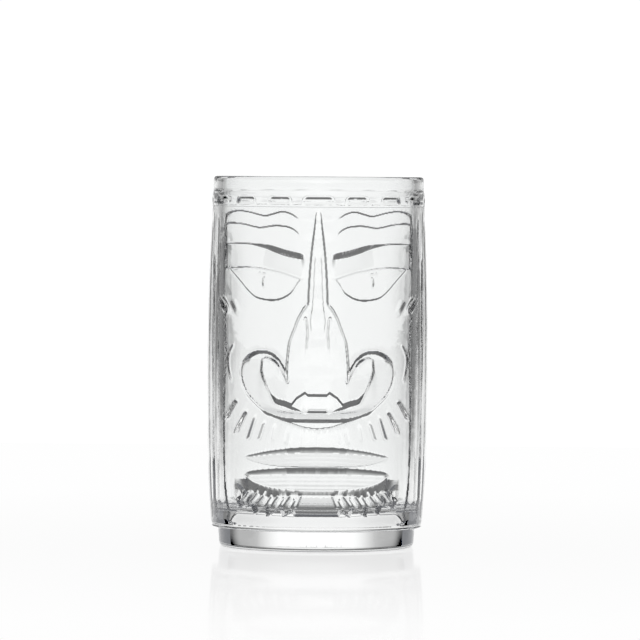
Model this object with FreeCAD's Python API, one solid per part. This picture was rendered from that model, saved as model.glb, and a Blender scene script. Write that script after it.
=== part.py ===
import FreeCAD
import Part
import math
import os

# Tiki tumbler of clear pressed glass, in millimetres.
# +Z is up, the face looks along -Y, and the origin is the centre of the base.
# The glass is made as four rings stacked face to face: foot, bowl, headband and rim.

# Overall sizes
mug_height = 137.0
belly_radius = 41.0
belly_height = 59.5

# Bowl: how far its two ends draw in from the belly, and the drafted bore
heel_taper = 2.1
heel_round = 0.5
shoulder_taper = 1.7
floor_thickness = 6.2
floor_corner = 4.5
cavity_draft = 1.0

# Foot: set in from the heel, with a punt inside its bearing ring
foot_height = 7.4
foot_step = 2.4
foot_taper = 0.4
foot_edge_round = 1.7
bearing_ring = 8.1
punt_depth = 0.8

# Rim, and the headband standing proud under it with its row of notches
rim_wall = 3.4
rim_inset = 0.3
rim_plain_height = 6.4
lip_round = 1.2
band_height = 4.8
band_stand = 0.45
notch_count = 17
notch_depth = 0.55
notch_foot_width = 8.0
notch_head_width = 6.2
front_notch_extra = 2.4
notch_margin = 1.0

# Face: the half angle it covers, and the depths of its levels below the barrel's surface
face_half_angle = 61.0
forehead_depth = 0.5
panel_depth = 1.0
socket_depth = 1.7
eye_depth = 0.55
pocket_depth = 2.0
wing_depth = 0.4
ledge_depth = 0.3
hexagon_depth = 1.0
nose_depth = 0.1
nose_stand = 1.1
hair_depth = 1.5
hair_width = 1.3
chin_depth = 2.0
beard_depth = 2.4

# Lips: each is a V scooped out of the front, set by its upper edge, valley and lower edge
# in hundredths of the bowl's height
lip_half_angle = 43.0
upper_lip = (26.4, 24.4, 20.2)
upper_lip_depth = 1.0
upper_lip_tilt = 9.0
lower_lip = (20.0, 17.3, 12.8)
lower_lip_depth = 1.4

# Side hair: upright flutes over each ear, turned a little toward the face
flute_count = 5
flute_pitch = 8.6
flute_lead = 4.8
flute_width = 2.6
flute_depth = 0.35
flute_margin = 2.0

# Where the shaping tools start inside the bore, and how far they reach past the glass
tool_start = 8.0
tool_reach = 6.0

bowl_bottom = foot_height
band_top = mug_height - rim_plain_height
band_bottom = band_top - band_height
floor_level = foot_height + floor_thickness
heel_radius = belly_radius - heel_taper
shoulder_radius = belly_radius - shoulder_taper
foot_top_radius = heel_radius - foot_step
foot_bottom_radius = foot_top_radius - foot_taper
punt_radius = foot_bottom_radius - bearing_ring
rim_radius = shoulder_radius - rim_inset
band_radius = rim_radius + band_stand
cavity_top_radius = rim_radius - rim_wall
cavity_bottom_radius = cavity_top_radius - cavity_draft
face_half_width = (belly_radius - panel_depth) * math.sin(math.radians(face_half_angle))

Vector = FreeCAD.Vector


def profile_solid(edges):
    """A full turn about Z of a closed outline in the XZ plane."""
    face = Part.Face(Part.Wire(edges))
    return face.revolve(Vector(0, 0, 0), Vector(0, 0, 1), 360)


def line(a, b):
    return Part.makeLine(Vector(a[0], 0, a[1]), Vector(b[0], 0, b[1]))


def arc(a, m, b):
    return Part.Arc(Vector(a[0], 0, a[1]), Vector(m[0], 0, m[1]), Vector(b[0], 0, b[1])).toShape()


def barrel_radius(z):
    """Outside radius of the bowl: two arcs that stand upright at the belly."""
    if z < belly_height:
        swell, rise = belly_radius - heel_radius, belly_height - bowl_bottom
    else:
        swell, rise = belly_radius - shoulder_radius, band_bottom - belly_height
    bend = (swell * swell + rise * rise) / (2 * swell)
    return belly_radius - bend + math.sqrt(bend * bend - (z - belly_height) ** 2)


def barrel(offset, low=bowl_bottom, high=band_bottom):
    """The bowl's outside, solid, with its surface moved out by offset."""
    def at(z):
        return (barrel_radius(z) + offset, z)

    r = heel_round
    turn = r * (1 - math.sqrt(0.5))
    edge = at(low + r)
    return profile_solid([
        line((0, low), (edge[0] - r, low)),
        arc((edge[0] - r, low), (edge[0] - turn, low + turn), edge),
        arc(edge, at((low + r + belly_height) / 2), at(belly_height)),
        arc(at(belly_height), at((belly_height + high) / 2), at(high)),
        line(at(high), (0, high)),
        line((0, high), (0, low)),
    ])


def cavity():
    """The inside: a drafted bore with a rounded floor corner, open past the rim."""
    low, corner = floor_level, floor_corner
    wall_foot = (cavity_bottom_radius, low + corner)
    flat_end = (cavity_bottom_radius - corner, low)
    turn = corner * (1 - math.sqrt(0.5))
    middle = (cavity_bottom_radius - turn, low + turn)
    slope = cavity_draft / (mug_height - low - corner)
    top = mug_height + tool_reach
    mouth = (cavity_top_radius + slope * tool_reach, top)
    return profile_solid([
        line((0, low), flat_end),
        arc(flat_end, middle, wall_foot),
        line(wall_foot, mouth),
        line(mouth, (0, top)),
        line((0, top), (0, low)),
    ])


def face_point(u, v):
    """A point of the face drawing: u in hundredths of the half width, v of the bowl's height."""
    return Vector(u / 100 * face_half_width, 0, bowl_bottom + v / 100 * (band_bottom - bowl_bottom))


def curve(points):
    """A smooth edge through points of the face drawing."""
    spline = Part.BSplineCurve()
    spline.interpolate([face_point(u, v) for u, v in points])
    return spline.toShape()


def straight(a, b):
    return Part.makeLine(face_point(*a), face_point(*b))


def chain(*runs):
    """A closed outline of smooth runs, joined by straight edges where they don't meet."""
    edges = []
    for index, run in enumerate(runs):
        edges.append(curve(run) if len(run) > 2 else straight(*run))
        start = runs[(index + 1) % len(runs)][0]
        if start != run[-1]:
            edges.append(straight(run[-1], start))
    return edges


def mirrored(run):
    return [(-u, v) for u, v in reversed(run)]


def front_tool(edges):
    """A prism through the front half of the bowl, with the outline as its section."""
    face = Part.Face(Part.Wire(edges))
    face.translate(Vector(0, -tool_start, 0))
    return face.extrude(Vector(0, -(belly_radius + tool_reach - tool_start), 0))


def both_sides(tool):
    return [tool, tool.mirror(Vector(0, 0, 0), Vector(1, 0, 0))]


def sunk(body, tools, depth):
    """Lower the surface inside the tools to the given depth."""
    skin = Part.makeCompound(tools).cut(barrel(-depth))
    return body.cut(skin)


def raised(body, tools, depth):
    """Bring the surface inside the tools back up to the given depth."""
    for tool in tools:
        body = body.fuse(tool.common(barrel(-depth)))
    return body


def stroke(a, b, width):
    """A slender four-sided cut from a to b, widest in the middle."""
    start, end = face_point(*a), face_point(*b)
    along = end - start
    side = Vector(-along.z, 0, along.x).normalize() * (width / 2)
    middle = (start + end) * 0.5
    return front_tool(Part.makePolygon([start, middle + side, end, middle - side, start]).Edges)


def cut_panel(body):
    """The recessed face with its waved hairline, then the wrinkle step below it."""
    hairline = [(-97, 97.4), (-82, 98.7), (-57, 97.3), (-38, 98.6), (-19, 96.4), (0, 95.2),
                (19, 96.4), (38, 98.6), (57, 97.3), (82, 98.7), (97, 97.4)]
    wrinkle = [(-98, 94.6), (-80, 94.8), (-63, 93.8), (-46, 94.3), (-31, 93.8), (-19, 91.1), (0, 89.5),
               (19, 91.1), (31, 93.8), (46, 94.3), (63, 93.8), (80, 94.8), (98, 94.6)]
    cheek = [(100, 77.2), (104, 71.8)]
    ear = [(104, 71.8), (96, 66.4), (90, 61.9), (92, 55.9), (98, 51.8), (93, 45.4)]
    jaw = [(93, 45.4), (90, 30.9), (90, 15), (86, 2.5)]
    right = [cheek, ear, jaw]
    left = [mirrored(run) for run in reversed(right)]
    body = sunk(body, [front_tool(chain(hairline, [(97, 97.4), (100, 94.6)], *right, *left,
                                        [(-100, 94.6), (-97, 97.4)]))], forehead_depth)
    return sunk(body, [front_tool(chain(wrinkle, *right, *left))], panel_depth)


def cut_eyes(body):
    """Each socket hangs from the brow, and the eye stands up again under its lid."""
    brow = [(-97, 88.3), (-82, 88.8), (-61, 88.4), (-40, 87.5), (-19, 85.8)]
    upper_lid = [(-19, 78), (-29, 79.1), (-50, 80.7), (-71, 81.5), (-94, 81.2)]
    lower_lid = [(-94, 81.2), (-82, 77), (-67, 72.4), (-48, 71.5), (-29, 73.7), (-19, 78)]
    body = sunk(body, both_sides(front_tool(chain(brow, upper_lid))), socket_depth)
    return raised(body, both_sides(front_tool(chain(upper_lid, lower_lid))), eye_depth)


def cut_pocket(body):
    """The crescent mouth under the nose, with the nostril wings standing in it."""
    cheek_arc = [(-30, 47.6), (-35, 51.9), (-46, 55.1), (-58, 56), (-69, 55.3), (-78, 53), (-81, 49.5),
                 (-79, 45.6), (-65, 39.9), (-47, 36.7), (-18, 34.4), (0, 34)]
    bead = [(-47, 36.2), (-33, 34.3), (-14, 32.5), (0, 31.7), (14, 32.5), (33, 34.3), (47, 36.2)]
    smile = [(47, 36.7), (18, 34.4), (0, 34), (-18, 34.4), (-47, 36.7)]
    wing_side = [(-30, 47.6), (-40, 52), (-58, 53.5), (-59, 50.4), (-51, 43.8), (-44, 39.3), (-28, 39),
                 (-18, 36.6), (0, 36.2)]
    body = raised(body, [front_tool(chain(bead, smile))], ledge_depth)
    body = sunk(body, [front_tool(chain(cheek_arc, mirrored(cheek_arc)))], pocket_depth)
    body = raised(body, [front_tool(chain(wing_side, mirrored(wing_side)))], wing_depth)
    hexagon = [(-24, 39.5), (-13, 42.6), (13, 42.6), (24, 39.5), (13, 36.6), (-13, 36.6)]
    outline = [face_point(u, v) for u, v in hexagon + hexagon[:1]]
    teeth = [front_tool(Part.makePolygon(outline).Edges)]
    return raised(sunk(body, teeth, hexagon_depth), teeth, hexagon_depth)


def add_nose(body):
    """A long narrow bridge that flares to the wings, with a proud ridge down its middle."""
    side = [(-3, 97.5), (-6, 87), (-9, 74.7), (-9.5, 70.4), (-18, 65.4), (-27, 56.8), (-30, 50),
            (-30, 47.6)]
    tip = [(-30, 47.6), (-20, 45.4), (0, 44.6), (20, 45.4), (30, 47.6)]
    body = raised(body, [front_tool(chain(side, tip, mirrored(side)))], nose_depth)
    ridge = [(-1, 97), (-2.6, 92), (-5, 85), (-7, 78), (-8, 71), (-8, 65), (-9.5, 58), (-12, 51)]
    return raised(body, [front_tool(chain(ridge, mirrored(ridge)))], -nose_stand)


def cut_hair(body):
    """Moustache strokes under the pocket and slanted beard strokes along the chin."""
    moustache = [((-86, 40.2), (-96, 34.5)), ((-75, 37), (-87, 30)), ((-66, 35.6), (-74, 27.7)),
                 ((-56, 33.8), (-62, 27.9)), ((-45, 32.8), (-48, 27.7)), ((-31, 31.2), (-34, 27.2))]
    beard = [((-68.7, 8.9), (-58, 12.9)), ((-53, 8.1), (-48.9, 11)), ((-38.9, 8), (-33.4, 11)),
             ((-23, 7.8), (-18.3, 11))]
    for strokes, depth in ((moustache, hair_depth), (beard, beard_depth)):
        tools = []
        for a, b in strokes:
            tools.extend(both_sides(stroke(a, b, hair_width)))
        body = sunk(body, tools, depth)
    return body


def cut_chin(body):
    """The face steps in below the lower lip, down to the ragged hem of the beard."""
    chin = [(-89, 15.6), (-74, 15.2), (-57, 13), (-34, 11.7), (0, 11.3),
            (34, 11.7), (57, 13), (74, 15.2), (89, 15.6)]
    teeth = [(89, 11.2), (83, 8.7), (69, 8.9), (66, 6.1), (54, 8.1),
             (53, 5.5), (39, 8), (36, 5.6), (23, 7.8), (21, 7.4)]
    hem = teeth + mirrored(teeth)
    return sunk(body, [front_tool(chain(chin, *zip(hem, hem[1:])))], chin_depth)


def cut_lip(body, levels, depth, tilt):
    """A leaf-shaped lip: a V-edged ring about a set-back axis, so that it runs out at both ends."""
    top, height, bottom = (face_point(0, v).z for v in levels)
    rise, drop = top - height, height - bottom
    radius = barrel_radius(height) - panel_depth
    spread = 1 - math.cos(math.radians(lip_half_angle))
    setback = (2 * depth * radius - depth * depth) / (2 * radius * spread - 2 * depth)
    apex = radius - depth + setback
    grow = (depth + tool_reach) / depth
    outer = apex + depth + tool_reach
    ring = profile_solid([
        line((apex, height), (outer, height + rise * grow)),
        line((outer, height + rise * grow), (outer, height - drop * grow)),
        line((outer, height - drop * grow), (apex, height)),
    ])
    ring.translate(Vector(0, setback, 0))
    ring.rotate(Vector(0, setback - apex, height), Vector(1, 0, 0), tilt)
    corner = Vector(-outer, -outer - tool_start, height - 2 * outer)
    keep = Part.makeBox(2 * outer, outer, 4 * outer, corner)
    return body.cut(ring.common(keep))


def cut_flutes(body):
    """Upright flutes that run round each side between the face and the back."""
    tools = []
    for side in (0, 180):
        for index in range(flute_count):
            lead = flute_lead if side else -flute_lead
            turn = side + lead + (index - (flute_count - 1) / 2) * flute_pitch
            length = band_bottom - bowl_bottom - 2 * flute_margin
            tool = Part.makeBox(belly_radius, flute_width, length,
                                Vector(tool_start, -flute_width / 2, bowl_bottom + flute_margin))
            tool.rotate(Vector(0, 0, 0), Vector(0, 0, 1), turn)
            tools.append(tool)
    return sunk(body, tools, flute_depth)


def make_bowl():
    body = barrel(0)
    body = cut_flutes(body)
    body = cut_panel(body)
    body = cut_eyes(body)
    body = cut_pocket(body)
    body = add_nose(body)
    body = cut_chin(body)
    body = cut_hair(body)
    body = cut_lip(body, upper_lip, upper_lip_depth, upper_lip_tilt)
    body = cut_lip(body, lower_lip, lower_lip_depth, 0)
    return body.cut(cavity())


def make_foot():
    """A short drum with a rounded lower edge and a shallow punt inside its bearing ring."""
    low, top = (foot_bottom_radius, 0), (foot_top_radius, foot_height)
    r = foot_edge_round
    turn = r * (1 - math.sqrt(0.5))
    drum = profile_solid([
        line((0, 0), (low[0] - r, 0)),
        arc((low[0] - r, 0), (low[0] - turn, turn), (low[0], r)),
        line((low[0], r), top),
        line(top, (0, foot_height)),
        line((0, foot_height), (0, 0)),
    ])
    ball = (punt_radius ** 2 + punt_depth ** 2) / (2 * punt_depth)
    return drum.cut(Part.makeSphere(ball, Vector(0, 0, punt_depth - ball)))


def make_headband():
    """A proud ring with a row of trapezoid notches, a wider one over the nose."""
    ring = Part.makeCylinder(band_radius, band_height, Vector(0, 0, band_bottom))
    shell = ring.cut(Part.makeCylinder(band_radius - notch_depth, band_height, Vector(0, 0, band_bottom)))
    low, top = band_bottom + notch_margin, band_top - notch_margin
    for index in range(notch_count):
        half_foot, half_head = notch_foot_width / 2, notch_head_width / 2
        if index == 0:
            half_foot, half_head = half_foot + front_notch_extra / 2, half_head + front_notch_extra / 2
        outline = Part.makePolygon([Vector(-half_foot, 0, low), Vector(half_foot, 0, low),
                                    Vector(half_head, 0, top), Vector(-half_head, 0, top),
                                    Vector(-half_foot, 0, low)])
        wedge = Part.Face(Part.Wire(outline.Edges)).extrude(Vector(0, -belly_radius - tool_start, 0))
        wedge.rotate(Vector(0, 0, 0), Vector(0, 0, 1), index * 360 / notch_count)
        ring = ring.cut(wedge.common(shell))
    return ring.cut(cavity())


def make_rim():
    """The plain drinking rim with a rounded lip."""
    r = lip_round
    turn = r * (1 - math.sqrt(0.5))
    side_end, top_start = (rim_radius, mug_height - r), (rim_radius - r, mug_height)
    drum = profile_solid([
        line((0, band_top), (rim_radius, band_top)),
        line((rim_radius, band_top), side_end),
        arc(side_end, (rim_radius - turn, mug_height - turn), top_start),
        line(top_start, (0, mug_height)),
        line((0, mug_height), (0, band_top)),
    ])
    return drum.cut(cavity())


os.makedirs("parts", exist_ok=True)
make_foot().exportStep("parts/foot.step")
make_bowl().exportStep("parts/bowl.step")
make_headband().exportStep("parts/headband.step")
make_rim().exportStep("parts/rim.step")
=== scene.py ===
import bpy
import math
import numpy as np
from mathutils import Matrix, Vector


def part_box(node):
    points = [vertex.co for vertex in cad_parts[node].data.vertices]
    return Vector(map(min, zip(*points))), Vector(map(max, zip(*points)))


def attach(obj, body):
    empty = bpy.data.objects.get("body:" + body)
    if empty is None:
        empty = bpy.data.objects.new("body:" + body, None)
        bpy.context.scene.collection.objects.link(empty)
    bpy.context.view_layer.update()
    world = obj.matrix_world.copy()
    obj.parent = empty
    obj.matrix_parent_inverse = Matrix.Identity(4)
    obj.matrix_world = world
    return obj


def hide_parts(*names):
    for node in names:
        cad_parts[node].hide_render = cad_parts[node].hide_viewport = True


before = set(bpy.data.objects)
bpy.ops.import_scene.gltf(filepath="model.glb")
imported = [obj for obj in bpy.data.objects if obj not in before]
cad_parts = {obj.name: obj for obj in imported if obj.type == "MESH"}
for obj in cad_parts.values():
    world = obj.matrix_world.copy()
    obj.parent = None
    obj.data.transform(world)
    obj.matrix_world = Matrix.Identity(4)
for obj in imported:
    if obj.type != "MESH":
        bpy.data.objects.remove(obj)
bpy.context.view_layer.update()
bpy.ops.object.select_all(action="DESELECT")


# --- The tumbler ---------------------------------------------------------------------------
# One gather of clear glass, pressed in a two-part mould by a plunger: a thick foot, a barrel
# with the face on it, a band of blocks and a plain fire-polished rim. Nothing is fixed to it.

# sizes in millimetres, heights from the table up
MM = 0.001
foot_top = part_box("foot")[1][2] / MM
bowl_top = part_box("bowl")[1][2] / MM
band_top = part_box("headband")[1][2] / MM
mug_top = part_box("rim")[1][2] / MM
belly_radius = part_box("bowl")[1][0] / MM
belly_height = 59.5
heel_radius = belly_radius - 2.1
shoulder_radius = belly_radius - 1.7
foot_top_radius = heel_radius - 2.4
foot_bottom_radius = foot_top_radius - 0.4
rim_radius = shoulder_radius - 0.3
band_proud = 0.45
band_radius = rim_radius + band_proud
bore_top_radius = rim_radius - 3.4
bore_bottom_radius = bore_top_radius - 1.0
floor_level = foot_top + 6.2
floor_corner = 4.5


def barrel_radius(z):
    """Outside radius of the barrel at height z: two arcs, upright at the belly."""
    low = z < belly_height
    swell = np.where(low, belly_radius - heel_radius, belly_radius - shoulder_radius)
    rise = np.where(low, belly_height - foot_top, bowl_top - belly_height)
    bend = (swell ** 2 + rise ** 2) / (2 * swell)
    return belly_radius - bend + np.sqrt(bend ** 2 - (z - belly_height) ** 2)


def spaced(stops):
    """Values from stop to stop, each stretch with its own step: [(start, step), ..., (end, 0)]."""
    values = []
    for (a, step), (b, _) in zip(stops, stops[1:]):
        count = max(1, round((b - a) / step))
        values.extend(a + (b - a) * i / count for i in range(count))
    values.append(stops[-1][0])
    return np.array(values)


def flowing(points, steps=10):
    """A smooth line through the points."""
    p = np.array(points, float)
    p = np.vstack([2 * p[0] - p[1], p, 2 * p[-1] - p[-2]])
    t = np.linspace(0, 1, steps, endpoint=False)[:, None]
    runs = []
    for a, b, c, d in zip(p, p[1:], p[2:], p[3:]):
        runs.append(0.5 * (2 * b + (c - a) * t + (2 * a - 5 * b + 4 * c - d) * t ** 2
                           + (3 * b - a - 3 * c + d) * t ** 3))
    return np.vstack(runs + [p[-2:-1]])


def distance(x, z, line):
    """How far each point of the surface is from a line on the face, and where along it."""
    best = np.full(x.shape, 1e9)
    place = np.zeros(x.shape)
    count = len(line) - 1
    for i, (a, b) in enumerate(zip(line, line[1:])):
        dx, dz = b[0] - a[0], b[1] - a[1]
        t = np.clip(((x - a[0]) * dx + (z - a[1]) * dz) / max(dx * dx + dz * dz, 1e-9), 0, 1)
        d = np.hypot(x - a[0] - t * dx, z - a[1] - t * dz)
        near = d < best
        best = np.where(near, d, best)
        place = np.where(near, (i + t) / count, place)
    return best, place


def inside(x, z, outline):
    """Signed distance to a closed outline, positive inside it."""
    ring = np.vstack([outline, outline[:1]])
    hit = np.zeros(x.shape, bool)
    for a, b in zip(ring, ring[1:]):
        if a[1] == b[1]:
            continue
        cross = a[0] + (z - a[1]) * (b[0] - a[0]) / (b[1] - a[1])
        hit ^= ((a[1] > z) != (b[1] > z)) & (x < cross)
    d, _ = distance(x, z, ring)
    return np.where(hit, d, -d)


def ramp(value, low, high):
    """From 0 at low to 1 at high, easing in and out."""
    t = np.clip((value - low) / (high - low), 0, 1)
    return t * t * (3 - 2 * t)


def wall(value, low, high):
    """From 0 at low to 1 at high, straight."""
    return np.clip((value - low) / (high - low), 0, 1)


def along(side, points):
    """Height of a smooth line at each place across the face."""
    p = flowing(points)
    return np.interp(side, p[:, 0], p[:, 1])


# The face is the same on both sides of the nose. In what follows, side is how far a point is
# from the middle of the nose, and h is how far the glass stands over the barrel there. The
# face ends 84 degrees round from the nose.
face_half_turn = 84
off_face = 99.0
first_flute, flute_pitch, flute_depth = 85.2, 8.6, 0.11
temple_depth = 0.3
panel_step = 0.5
wrinkle_step = 0.5
panel_return = 0.66


def hair(wide, z):
    """Upright flutes over each ear, and the low strip between them and the face."""
    beat = 0.5 + 0.5 * np.cos(2 * np.pi * (wide - first_flute) / flute_pitch)
    reach = ramp(wide, 64, 68) * ramp(-wide, -108, -100) * ramp(z, 9, 13) * ramp(-z, -124.5, -120)
    strip = temple_depth * ramp(-wide, -face_half_turn, -57) * ramp(z, 8.5, 17) * ramp(-z, -123.5, -118)
    return -flute_depth * beat * reach - strip


def face_panel(h, side, z, front):
    """The sunken panel under a waved hairline, with a wrinkle across the forehead below it."""
    hairline = flowing([(0, 120.5), (6.7, 121.5), (10, 123.3), (13.3, 124.1), (16.9, 123.2), (19.9, 122.6),
                        (25, 123.8), (28.8, 124.3), (31.8, 123.9), (34.0, 122.6)])
    edge = flowing([(34.0, 122.6), (34.5, 119.0), (34.6, 113), (34.6, 98), (34.6, 90), (34.4, 80),
                    (34.0, 72), (34.4, 64), (34.6, 56), (34.6, 44), (34.2, 25), (32.6, 14), (30, 9.5),
                    (0, 9)])
    panel = inside(side, z, np.vstack([[(-9, 120.5)], hairline, edge[1:], [(-9, 9)]]))
    soft = 0.36 - 0.22 * ramp(side, 30, 33) * ramp(-z, -123.5, -121.5)
    fade_in = ramp(side, 5.5, 9.5)
    sunk = ramp(panel / soft, -1, 1) * front
    h = h * (1 - sunk) - panel_step * sunk * (fade_in + (1 - fade_in) * ramp(-z, -121, -112))

    wrinkle = flowing([(-9, 110), (0, 110.5), (4.6, 111.5), (6.6, 114.6), (7.6, 116.5), (11, 118.5),
                       (16.2, 119), (22, 118.3), (28, 119.5), (32.9, 119.8), (36, 118.8)])
    near = ramp(side, 6, 8.5)
    below = inside(side, z, np.vstack([wrinkle, [(44, 119), (44, 0), (-9, 0)]]))
    h = h - wrinkle_step * sunk * (wall(below, -0.3, 0.3) * near + (1 - near) * ramp(-z, -117, -103))

    # below the wrinkle the panel comes back out toward its sides
    low_part = 1 - 0.7 * ramp(-z, -93, -86)
    h = h + panel_return * ramp(side, 24, 34.6) * sunk * ramp(-z, -120, -107) * low_part
    return h, panel


brow_slope = 0.68
socket_depth = 0.35
eye_rise = 0.5
lid_cut = 0.3
pupil_cut = 0.35
glint_cut = 0.2


def brow_and_eye(h, side, z, panel):
    """A brow cut in under its upper edge, a socket that comes out again below it, and the eye."""
    top = along(side, [(5, 108.5), (6.9, 109.1), (12.1, 110.3), (17, 111.7), (20.4, 112.25), (24.8, 112.55),
                       (28.5, 112.65), (33.5, 112.5)])
    low = along(side, [(5, 106.5), (6.9, 106.8), (12.1, 107.7), (17, 109.2), (20.4, 110.6), (24.8, 111.8),
                       (28.5, 112.1), (33.5, 112.1)])
    lid = flowing([(6.5, 99.75), (10.2, 101), (13.9, 102.2), (17.5, 102.9), (21.2, 103.6), (24.9, 103.9),
                   (28.6, 103.9), (32.7, 103.5)])
    under = flowing([(32.7, 103.5), (28.6, 98.6), (26, 95.4), (23.3, 93.1), (20.4, 92.2), (16.7, 91.9),
                     (13.4, 92.6), (10.1, 94.6), (8.3, 97.2), (6.5, 99.75)])
    lid_z = np.interp(side, lid[:, 0], lid[:, 1])
    held = ramp(side, 4.3, 7.2) * ramp(panel, 0, 0.8)
    deep = brow_slope * (top - low)
    brow = wall(top - z, 0, top - low) * deep
    socket = deep + (socket_depth - deep) * wall(low - z, 0, low - lid_z)
    h = h - held * np.where(z > low, brow, socket) * wall(z, lid_z - 0.3, lid_z)
    eye = inside(side, z, np.vstack([lid, under]))
    h = h + eye_rise * wall(eye, -0.35, 0.35)
    pupil = np.array([(20.0, 99.9), (20.3, 98.4), (20.0, 96.9)])
    glint = np.array([(21.8, 101.9), (19.3, 101.5)])
    for line, cut, reach in ((lid, lid_cut, 0.5), (pupil, pupil_cut, 0.6), (glint, glint_cut, 0.5)):
        d, _ = distance(side, z, line)
        h = h - cut * wall(-d, -reach, 0)
    return h


nose_groove = 0.5
rib_rise = 0.4
nostril_cut = 0.4


def nose(h, side, z):
    """A long narrow bridge with steep sides and a low rib on it, flaring to the wings."""
    bridge = flowing([(0.6, 125.4), (0.95, 123.0), (1.3, 119.0), (1.9, 114.0), (2.4, 109.6), (2.72, 105.9),
                      (3.0, 102.3), (3.28, 97.6), (3.42, 94.0), (3.7, 90.3), (5.2, 88.0), (6.9, 84.9),
                      (8.3, 81.2), (9.9, 76.9), (10.5, 72.9), (10.86, 68.9), (11.0, 65.6), (11.0, 62)])
    within = inside(side, z, np.vstack([[(-9, 125.4)], bridge, [(9, 56), (-9, 56)]]))
    width = np.interp(z, [62, 70, 80, 86, 91, 97, 108, 114, 118, 124],
                      [0.55, 0.6, 0.68, 0.78, 0.85, 0.9, 0.85, 0.8, 0.6, 0.4])
    steep = np.interp(z, [62, 66, 74, 88, 92, 112, 120, 125.2], [1.85, 2.05, 2.4, 2.5, 2.25, 2.25, 2.0, 0.3])
    crown = h + steep * width
    mask = wall(within / width, -0.5, 0.5)
    down = ramp(z, 53, 69)
    h = h + (crown - h) * mask * down
    h = h - nose_groove * wall(-np.abs(within + 0.55), -0.55, 0) * ramp(z, 62, 65) * ramp(-z, -93, -89)
    rib = along(z, [(78, 2.3), (82, 2.45), (85, 2.55), (89, 2.0), (93, 1.7), (97, 1.5), (103, 1.3),
                    (109, 1.0), (113, 0.9)])
    h = h + rib_rise * wall(rib - side, -0.25, 0.25) * ramp(z, 78, 82) * ramp(-z, -112, -106)
    nostril = flowing([(4.75, 85.2), (4.35, 85.6), (3.9, 84.6), (3.75, 82), (3.7, 79.4), (4.05, 74),
                       (4.6, 69.2)])
    d, t = distance(side, z, nostril)
    h = h - nostril_cut * wall(-d, -0.55, 0) * (1 - ramp(t, 0.75, 1.0))
    return h, mask * down


mouth_floor = -1.9
upper_bead, lower_bead = 0.3, 1.0
bead_groove = 0.25
wing_face = -0.4
wing_groove = 0.65
teeth_gap = 0.75


def mouth(h, side, z, nose_mask):
    """The crescent mouth, with the wings of the nose standing in it and a gap in the teeth."""
    outer = flowing([(11.0, 62.0), (12.0, 66.6), (14.2, 70.2), (16.6, 72.4), (20.0, 73.5), (23, 73.1),
                     (25.6, 71.8), (27.4, 69.8), (28.0, 67.5), (28.1, 64.2), (27.5, 61.3), (25.7, 57.7),
                     (22.7, 54.5), (19.7, 52.1), (16.4, 50.5), (12.4, 49.4), (6.2, 48.9), (0, 48.8)])
    pocket = inside(side, z, np.vstack([outer, [(-9, 48.8), (-9, 92), (0, 92), (8.8, 74), (10.0, 66)]]))
    ends = ramp(side, 23, 27) * ramp(-z, -70.5, -67)
    basin = ramp(-z, -57, -53) * ramp(-side, -24, -19)
    arch = ramp(z, 66, 70)
    shelf = 1.0 + 2.2 * ends + 1.0 * basin + 0.15 * arch
    floor = mouth_floor + 0.75 * ramp(side, 19, 23.5) * ramp(z, 50, 54) * (1 - arch)
    floor = floor + 0.8 * ramp(-z, -52.0, -50.2) * ramp(-side, -21, -17)
    keep = 1 - nose_mask

    # a bead runs round the crescent: thin above it, broad below it
    bead_low = np.interp(side, [0, 5, 11.6, 16.4, 20], [45.0, 45.6, 47.6, 49.3, 51.2])
    crest = ramp(-z, -54, -51) * ramp(-side, -23, -18)
    outside = wall(-pocket, -0.01, 0.01)
    h = h + crest * outside * lower_bead * wall(pocket, -1.5, 0)
    h = h + (1 - crest) * upper_bead * wall(pocket, -0.95, -0.55) * outside * keep
    h = h - bead_groove * wall(-np.abs(z - bead_low), -0.45, 0) * ramp(-side, -20, -16)
    brim = np.where(crest > 0, -1.0 + 0.9 * crest, h)
    h = np.where(pocket > 0, h + (brim + (floor - brim) * wall(pocket / shelf, 0, 1) - h) * keep, h)

    wing_line = flowing([(11.0, 62.0), (12.6, 65.6), (14.6, 68.6), (17.2, 70.6), (19.6, 71.2), (20.6, 70),
                         (20.7, 66.5), (19.9, 63.0), (18.2, 58.6), (16.6, 55.4), (15.2, 54.2), (12.6, 53.5),
                         (10.4, 52.7), (8.2, 52.0), (5.2, 50.8), (4.4, 50.2), (3.2, 50.9), (0, 50.9)])
    wing = inside(side, z, np.vstack([wing_line, [(-9, 51.0), (-9, 92), (0, 92), (8.8, 74), (10.0, 66)]]))
    slack = 0.7 + ramp(-z, -59, -55) * (0.5 + 1.2 * ramp(side, 5, 9))
    stand = wall(wing / slack, -0.15, 0.85)
    h = np.where(pocket > 0, np.maximum(h, floor + (wing_face - floor) * stand), h)
    foot = wall(-np.abs(wing + 0.45), -0.6, 0) * ramp(z, 53, 56) * ramp(-z, -71.5, -69.5) * ramp(side, 13, 15)
    h = h - wing_groove * foot * (pocket > 0)

    top = np.interp(side, [0, 3.4, 4.6, 7.6, 9.6, 10.2], [57.0, 57.0, 57.9, 55.9, 53.4, 52.6])
    low = np.interp(side, [0, 3.0, 4.2, 7.6, 9.6, 10.2], [52.4, 52.4, 51.4, 51.7, 52.4, 52.6])
    plate = np.minimum(top - z, z - low)
    cut = np.minimum(h, wing_face - teeth_gap * wall(plate, -0.9, 0.1))
    return np.where((side < 10.2) & (plate > -0.9), cut, h)


ear_lock_cut = 0.2


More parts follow.
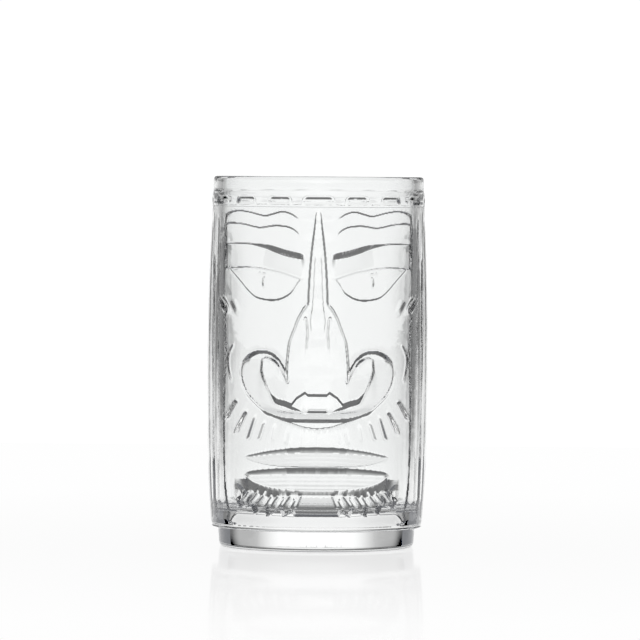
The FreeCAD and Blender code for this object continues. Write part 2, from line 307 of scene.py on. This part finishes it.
def whiskers(h, side, z, front):
    """The moustache's strokes, the edge of a lock of hair before the ear, and the ear's notches."""
    for a, b, cut in (((30.1, 54.9), (33.8, 48.1), 0.9), ((26.35, 51.1), (30.4, 42.8), 0.9),
                      ((23, 49.4), (25.9, 40.1), 0.55), ((19.5, 47.3), (21.8, 40.3), 0.5),
                      ((15.6, 46.3), (16.7, 40.1), 0.3), ((10.9, 44.6), (11.9, 39.5), 0.25)):
        d, t = distance(side, z, np.array([a, b]))
        h = h - cut * ramp(-d, -0.95, -0.1) * np.clip(np.sin(np.pi * np.clip(t, 0.02, 0.98)) * 2, 0, 1)
    d, _ = distance(side, z, flowing([(31.6, 75.0), (33.0, 71.6), (33.1, 67.4), (32.2, 62.6)]))
    h = h - ear_lock_cut * ramp(-d, -0.6, 0)
    for a, b, cut in (((35.6, 92.8), (33.4, 86.4), 0.8), ((31.8, 92.0), (29.6, 86.6), 0.35)):
        d, t = distance(side, z, np.array([a, b]))
        h = h - cut * ramp(-d, -1.5, -0.1) * np.sin(np.pi * np.clip(t, 0.02, 0.98)) * front
    return h


# the lips' lines, each by its height at these places across the face
across = [0, 6, 10, 13.4, 17, 20.5, 24.4, 26, 27.2]
upper_lip = {"top": [38.7, 38.5, 38.2, 37.7, 37.2, 36.5, 35.5, 35.1, 34.6],
             "valley": [36.3, 36.2, 36.0, 35.7, 35.4, 35.0, 34.4, 34.3, 34.2],
             "low": [31.3, 31.3, 31.3, 31.4, 31.6, 32.1, 33.0, 33.6, 34.2],
             "step": 0.12}
lower_lip = {"top": [31.1, 31.1, 31.0, 30.8, 30.5, 30.1, 29.5, 29.0, 28.2],
             "valley": [28.3, 28.3, 28.3, 28.2, 28.0, 27.8, 27.6, 27.5, 27.6],
             "low": [22.5, 22.5, 22.7, 23.0, 23.5, 24.1, 25.4, 26.2, 27.6],
             "step": 0.8}
streak_height, streak_pitch = 0.022, 1.55


def lips(h, side, z):
    """Each lip has a hollow face under its upper edge and a long shallow one to its lower edge."""
    for lip in (upper_lip, lower_lip):
        top = np.interp(side, across, lip["top"])
        valley = np.interp(side, across, lip["valley"])
        low = np.interp(side, across, lip["low"])
        share = np.clip((top - z) / np.maximum(top - valley, 0.05), 0, 1)
        hollow = (top - valley) * (0.56 * share - 0.12 * share ** 2)
        depth = 0.44 * (top - valley)
        step = np.minimum(lip["step"], depth)
        streak = streak_height * np.sin(2 * np.pi * (valley - z) / streak_pitch)
        streak = streak * ramp(valley - z, 0.3, 1.2) * ramp(z - low, 0.1, 0.9)
        long_face = depth - (depth - step) * wall(valley - z, -0.3, np.maximum(valley - low, 0.9)) + streak
        cut = np.where(z > valley, hollow, long_face) * ramp(-side, -27.6, -25.6)
        h = h - np.where((z > low) & (z < top), np.maximum(cut, 0), 0)
    return h


chin_step, chin_slope = 0.8, 0.43
beard_cut = 0.45
heel_cut = 0.35


def chin_and_beard(h, side, z):
    """The face falls away below the lower lip into the beard, which ends in a ragged hem."""
    low = np.interp(side, across + [31, 36], lower_lip["low"][:-1] + [26.4, 26.4, 26.4])
    drop = 1.8 + 2.4 * ramp(side, 8, 22)
    chin = chin_step * ramp(-side, -27.6, -25.6) + chin_slope * np.clip(low - z, 0, drop)
    h = h - chin * (z <= low) * ramp(-side, -31.5, -27.5)
    for a, b in (((29.6, 18.2), (27.4, 21.6)), ((27.0, 18.2), (23.6, 22.3)), ((24.05, 17.95), (20.4, 22.2)),
                 ((21.6, 15.9), (18.2, 20.9)), ((18.5, 17.0), (15.7, 20.6)), ((16.0, 15.6), (13.2, 19.4)),
                 ((13.6, 16.9), (10.9, 20.4)), ((10.8, 15.4), (8.9, 18.8)), ((8.1, 16.6), (6.4, 20.5))):
        d, _ = distance(side, z, np.array([a, b]))
        h = h - beard_cut * wall(-d, -0.8, 0)
    hem = inside(side, z, np.array([(-9, 13.7), (8.2, 13.7), (8.8, 15.2), (12.3, 13.2), (13.6, 16.4),
                                    (18.6, 13.2), (19.2, 16.6), (23.4, 14.0), (24.4, 16.8), (29.0, 16.0),
                                    (31.2, 19.0), (40, 19.0), (40, 2), (-9, 2)]))
    clear_hem = -(0.95 + 0.35 * ramp(side, 8, 22)) * ramp(z, 8.2, 14.5)
    return h + (clear_hem - h) * wall(hem, -0.25, 0.35) * ramp(-side, -33, -29)


def relief(x, z, turn):
    """Height of the face and hair over the barrel, where x is across the face and turn is round it."""
    wide = np.abs(turn)
    side = np.where(wide < face_half_turn, np.abs(x), off_face)
    front = ramp(-wide, -face_half_turn, -80)
    h = hair(wide, z)
    h, panel = face_panel(h, side, z, front)
    h = brow_and_eye(h, side, z, panel)
    h, nose_mask = nose(h, side, z)
    h = mouth(h, side, z, nose_mask)
    h = whiskers(h, side, z, front)
    h = lips(h, side, z)
    h = chin_and_beard(h, side, z)
    # the heel's lower edge
    return h - heel_cut * wall(9.1 - z, 0, 0.9)


def fillet(r, z, size, start, end, steps):
    """Points of a rounded corner about (r, z), from one angle to the other in degrees."""
    angles = np.radians(np.linspace(start, end, steps))
    return [(r + size * math.cos(a), z + size * math.sin(a)) for a in angles]


# The section goes from the middle of the underside round the outside and down the bore. The
# steps round the glass are finest over the middle of the face.
turns = spaced([(-180, 2.5), (-110, 1.0), (-64, 0.4), (-18, 0.27),
                (18, 0.4), (64, 1.0), (110, 2.5), (180, 0)])
levels = spaced([(foot_top + 0.6, 0.27), (62, 0.33), (90, 0.29), (bowl_top, 0)])
punt_radius, punt_depth = 27.5, 0.8
foot_corner = 1.7
heel_corner = 0.5
lip_corner = 1.2
bore_corner = 0.8

under_side = [(r, punt_depth * (1 - (r / punt_radius) ** 2)) for r in (0, 5, 10, 15, 20, 24, punt_radius)]
under_side += [(29.5, 0.0), (31.5, 0.0)]
foot_side = fillet(foot_bottom_radius - foot_corner, foot_corner, foot_corner, -90, 0, 6)
foot_side += [(foot_bottom_radius + (foot_top_radius - foot_bottom_radius) * t,
               foot_corner + (foot_top - foot_corner) * t) for t in (0.2, 0.4, 0.6, 0.8, 1.0)]
heel_level = foot_top + heel_corner
heel_start = float(barrel_radius(np.array(heel_level))) - heel_corner
heel = fillet(heel_start, heel_level, heel_corner, -90, 0, 5)[:-1]
barrel_side = [(float(barrel_radius(np.array(z))), z) for z in levels]
band_side = [(band_radius - band_proud * float(ramp(t, 3.4, 6.6)), bowl_top + t)
             for t in (0.1, 0.5, 0.9, 1.2, 1.5, 1.9, 2.3, 2.7, 3.1, 3.5, 3.9, 4.3, 4.7)]
rim_side = [(band_radius - band_proud * float(ramp(t, 3.4, 6.6)), bowl_top + t)
            for t in (5.1, 5.5, 5.9, 6.3, 6.8, 7.8, 9.2)]
rim_side += fillet(rim_radius - lip_corner, mug_top - lip_corner, lip_corner, 0, 90, 6)[1:]
bore = fillet(bore_top_radius + bore_corner, mug_top - bore_corner, bore_corner, 90, 180, 5)
slope = (bore_top_radius - bore_bottom_radius) / (mug_top - floor_level - floor_corner)
bore += [(bore_bottom_radius + slope * (z - floor_level - floor_corner), z)
         for z in np.linspace(mug_top - 3, floor_level + floor_corner, 26)]
bore += fillet(bore_bottom_radius - floor_corner, floor_level + floor_corner, floor_corner, 0, -90, 8)[1:]
bore += [(r, floor_level) for r in (24, 18, 12, 6, 0)]
section = under_side + foot_side + heel + barrel_side + band_side + rim_side + bore
first_level = len(under_side) + len(foot_side) + len(heel)
band_first = first_level + len(levels)

# a flat grid, one square to each turn and step of the section, is wrapped round into the glass
columns, rows = len(turns) - 1, len(section) - 1
bpy.ops.mesh.primitive_grid_add(x_subdivisions=columns, y_subdivisions=rows, size=1)
glass = bpy.context.object
glass.name = "tumbler_glass"
glass.data.name = "tumbler_glass"
count = len(glass.data.vertices)
flat = np.empty(count * 3)
glass.data.vertices.foreach_get("co", flat)
flat = flat.reshape(-1, 3)
column = np.rint((flat[:, 0] + 0.5) * columns).astype(int)
row = np.rint((flat[:, 1] + 0.5) * rows).astype(int)
turn = turns[column]
r = np.array([p[0] for p in section])[row]
z = np.array([p[1] for p in section])[row]
carved = (row >= first_level) & (row < band_first)
lift = np.zeros(count)
x_across = r * np.sin(np.radians(turn))
lift[carved] = relief(x_across[carved], z[carved], turn[carved])

# the band's blocks: a row of notches, the one over the nose wider than the rest
notch_count, notch_depth = 17, 0.5
nose_notch_extra = 1.2
banded = (row >= band_first) & (row < band_first + len(band_side))
pitch = 360 / notch_count
offset = np.abs((turn + pitch / 2) % pitch - pitch / 2) * math.pi / 180 * band_radius
near_nose = np.abs(turn) < 10
half = np.interp(z, [bowl_top + 1.0, band_top - 0.8], [4.0, 3.1]) + nose_notch_extra * near_nose
upright = np.interp(z, [bowl_top + 0.9, bowl_top + 1.9, band_top - 2.1, band_top - 0.7], [0, 1, 1, 0])
notch = ramp(half - offset, -1.3, 0.7) * upright
lift[banded] = -notch_depth * notch[banded]
r = r + lift
angle = np.radians(turn)
place = np.stack([r * np.sin(angle), -r * np.cos(angle), z], axis=1) * MM
glass.data.vertices.foreach_set("co", place.ravel())
bpy.ops.object.mode_set(mode="EDIT")
bpy.ops.mesh.select_all(action="SELECT")
bpy.ops.mesh.remove_doubles(threshold=0.00001)
bpy.ops.mesh.normals_make_consistent(inside=False)
bpy.ops.object.mode_set(mode="OBJECT")
most_triangles = 197000
fewer = glass.modifiers.new("fewer", "DECIMATE")
fewer.ratio = most_triangles / sum(len(p.vertices) - 2 for p in glass.data.polygons)
bpy.ops.object.modifier_apply(modifier="fewer")
bpy.ops.object.shade_smooth_by_angle(angle=math.radians(22))
glass.select_set(False)

# The surface keeps the mould's faint waviness and the fine mist of handling. Both are patterns
# in the glass's own space: two sizes of ripple for the normals, and a blotchy mist.


def fade(nodes, links, value, span, levels, smooth=True):
    """A Map Range node: as value goes over the span, its result goes over the levels."""
    node = nodes.new("ShaderNodeMapRange")
    if smooth:
        node.interpolation_type = "SMOOTHSTEP"
    node.inputs["From Min"].default_value = span[0]
    node.inputs["From Max"].default_value = span[1]
    node.inputs["To Min"].default_value = levels[0]
    node.inputs["To Max"].default_value = levels[1]
    links.new(value, node.inputs["Value"])
    return node.outputs["Result"]


surface = bpy.data.node_groups.new("pressed_surface", "ShaderNodeTree")
surface.interface.new_socket("Mist", in_out="OUTPUT", socket_type="NodeSocketFloat")
surface.interface.new_socket("Normal", in_out="OUTPUT", socket_type="NodeSocketVector")
nodes, links = surface.nodes, surface.links
ends = nodes.new("NodeGroupOutput")
place = nodes.new("ShaderNodeTexCoord")
swell = nodes.new("ShaderNodeTexNoise")
swell.inputs["Scale"].default_value = 55
swell.inputs["Detail"].default_value = 2
chill = nodes.new("ShaderNodeTexNoise")
chill.inputs["Scale"].default_value = 330
chill.inputs["Detail"].default_value = 3
links.new(place.outputs["Object"], swell.inputs["Vector"])
links.new(place.outputs["Object"], chill.inputs["Vector"])
broad = nodes.new("ShaderNodeBump")
broad.inputs["Strength"].default_value = 0.22
broad.inputs["Distance"].default_value = 0.0004
links.new(swell.outputs["Fac"], broad.inputs["Height"])
fine = nodes.new("ShaderNodeBump")
fine.inputs["Strength"].default_value = 0.12
fine.inputs["Distance"].default_value = 0.0001
links.new(chill.outputs["Fac"], fine.inputs["Height"])
links.new(broad.outputs["Normal"], fine.inputs["Normal"])
links.new(fine.outputs["Normal"], ends.inputs["Normal"])
mist = fade(nodes, links, swell.outputs["Fac"], (0.45, 0.8), (0.0, 0.02), smooth=False)
links.new(mist, ends.inputs["Mist"])

clear = bpy.data.materials.new("clear_pressed_glass")
clear.use_nodes = True
nodes, links = clear.node_tree.nodes, clear.node_tree.links
shader = nodes["Principled BSDF"]
shader.inputs["Base Color"].default_value = (0.99, 0.997, 0.994, 1)
shader.inputs["Transmission Weight"].default_value = 1.0
shader.inputs["IOR"].default_value = 1.517
skin = nodes.new("ShaderNodeGroup")
skin.node_tree = surface
links.new(skin.outputs["Mist"], shader.inputs["Roughness"])
links.new(skin.outputs["Normal"], shader.inputs["Normal"])
glass.data.materials.clear()
glass.data.materials.append(clear)
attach(glass, "root")
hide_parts("foot", "bowl", "headband", "rim")


# --- The table ------------------------------------------------------------------------------
# A sheet of white acrylic, lit from below, that mirrors a little of what stands on it. Its glow carries
# painted shade: a painted shadow, dim under the glass's foot, and a painted falloff far out to its two sides.
table_size = 2.4
far_edge = 0.75
table_drop = 0.00002
bpy.ops.mesh.primitive_plane_add(size=table_size, location=(0, 0, -table_drop))
table = bpy.context.object
table.name = "white_table"
for vertex in table.data.vertices:
    vertex.co.y = min(vertex.co.y, far_edge)


def combine(nodes, links, operation, first, second=None):
    """A Math node on one or two values."""
    node = nodes.new("ShaderNodeMath")
    node.operation = operation
    links.new(first, node.inputs[0])
    if second is not None:
        links.new(second, node.inputs[1])
    return node.outputs[0]


acrylic = bpy.data.materials.new("white_table_painted_shade")
acrylic.use_nodes = True
nodes, links = acrylic.node_tree.nodes, acrylic.node_tree.links
nodes.clear()
out = nodes.new("ShaderNodeOutputMaterial")
glow = nodes.new("ShaderNodeEmission")
glow.inputs["Color"].default_value = (1, 1, 1, 1)
where = nodes.new("ShaderNodeTexCoord")
away = nodes.new("ShaderNodeVectorMath")
away.operation = "LENGTH"
links.new(where.outputs["Object"], away.inputs[0])
split = nodes.new("ShaderNodeSeparateXYZ")
links.new(where.outputs["Object"], split.inputs[0])
aside = combine(nodes, links, "ABSOLUTE", split.outputs["X"])
# painted shadow: the table's glow drops to 0.17 under the glass's foot, where the foot would shade it
under = fade(nodes, links, away.outputs["Value"], (0.0325, 0.0362), (0.17, 1.0))
# painted light falloff: the table's glow dims far out to its two sides
painted_side_falloff = fade(nodes, links, aside, (0.165, 0.36), (1.0, 0.19))
links.new(combine(nodes, links, "MULTIPLY", under, painted_side_falloff), glow.inputs["Strength"])
gloss = nodes.new("ShaderNodeBsdfGlossy")
gloss.inputs["Roughness"].default_value = 0.05
mirror = fade(nodes, links, away.outputs["Value"], (0.04, 0.35), (0.24, 0.05), smooth=False)
mix = nodes.new("ShaderNodeMixShader")
links.new(mirror, mix.inputs["Fac"])
links.new(glow.outputs[0], mix.inputs[1])
links.new(gloss.outputs[0], mix.inputs[2])
links.new(mix.outputs[0], out.inputs["Surface"])
table.data.materials.append(acrylic)


# --- Camera and light -----------------------------------------------------------------------
# A long lens level with the rim, a lit white card behind the glass and a dim grey room round
# them. The table and the card are the only lamps.
camera_data = bpy.data.cameras.new("camera")
camera = bpy.data.objects.new("camera", camera_data)
bpy.context.collection.objects.link(camera)
camera_data.lens = 303.5
camera_data.sensor_width = 36
camera_data.clip_end = 100
camera_place = Vector((0.0008, -2.0, 0.1375))
aim = Vector((0.0008, 0, 0.0838))
camera_roll = math.radians(-0.42)
camera.location = camera_place
line_of_sight = aim - camera_place
look = line_of_sight.to_track_quat("-Z", "Y")
roll = Matrix.Rotation(camera_roll, 4, line_of_sight.normalized())
camera.rotation_mode = "QUATERNION"
camera.rotation_quaternion = (roll @ look.to_matrix().to_4x4()).to_quaternion()
bpy.context.scene.camera = camera

# The card stands well behind the glass and travels with the camera. It is brightest in the
# middle and fades to its sides and top.
card_half_width = 5.0
card_bottom, card_top = -2.5, 2.0
card_distance = 6.0
bpy.ops.mesh.primitive_plane_add(size=1)
card = bpy.context.object
card.name = "back_card"
for vertex in card.data.vertices:
    upright = card_bottom if vertex.co.y < 0 else card_top
    vertex.co = Vector((vertex.co.x * 2 * card_half_width, upright, 0))
card.location = (0, 0, -card_distance)
card.parent = camera
lit = bpy.data.materials.new("back_card")
lit.use_nodes = True
nodes, links = lit.node_tree.nodes, lit.node_tree.links
nodes.clear()
out = nodes.new("ShaderNodeOutputMaterial")
lamp = nodes.new("ShaderNodeEmission")
where = nodes.new("ShaderNodeTexCoord")
split = nodes.new("ShaderNodeSeparateXYZ")
links.new(where.outputs["Object"], split.inputs[0])
aside = combine(nodes, links, "ABSOLUTE", split.outputs["X"])
sides = fade(nodes, links, aside, (0.9, 2.3), (1.06, 0.46))
far_ends = fade(nodes, links, aside, (3.2, 4.7), (0.0, -0.38))
tops = fade(nodes, links, split.outputs["Y"], (0.30, 0.85), (1.0, 0.12))
both = combine(nodes, links, "MULTIPLY", sides, tops)
links.new(combine(nodes, links, "ADD", both, far_ends), lamp.inputs["Strength"])
links.new(lamp.outputs[0], out.inputs["Surface"])
card.data.materials.append(lit)

world = bpy.data.worlds.new("studio")
world.use_nodes = True
world.node_tree.nodes["Background"].inputs["Color"].default_value = (0.14, 0.145, 0.16, 1)
world.node_tree.nodes["Background"].inputs["Strength"].default_value = 1.0
bpy.context.scene.world = world
bpy.context.scene.view_settings.view_transform = "Standard"
# light goes through many faces of the glass before it reaches the eye
bounces = 24
bpy.context.scene.cycles.max_bounces = bounces
bpy.context.scene.cycles.transmission_bounces = bounces
bpy.context.scene.cycles.glossy_bounces = bounces
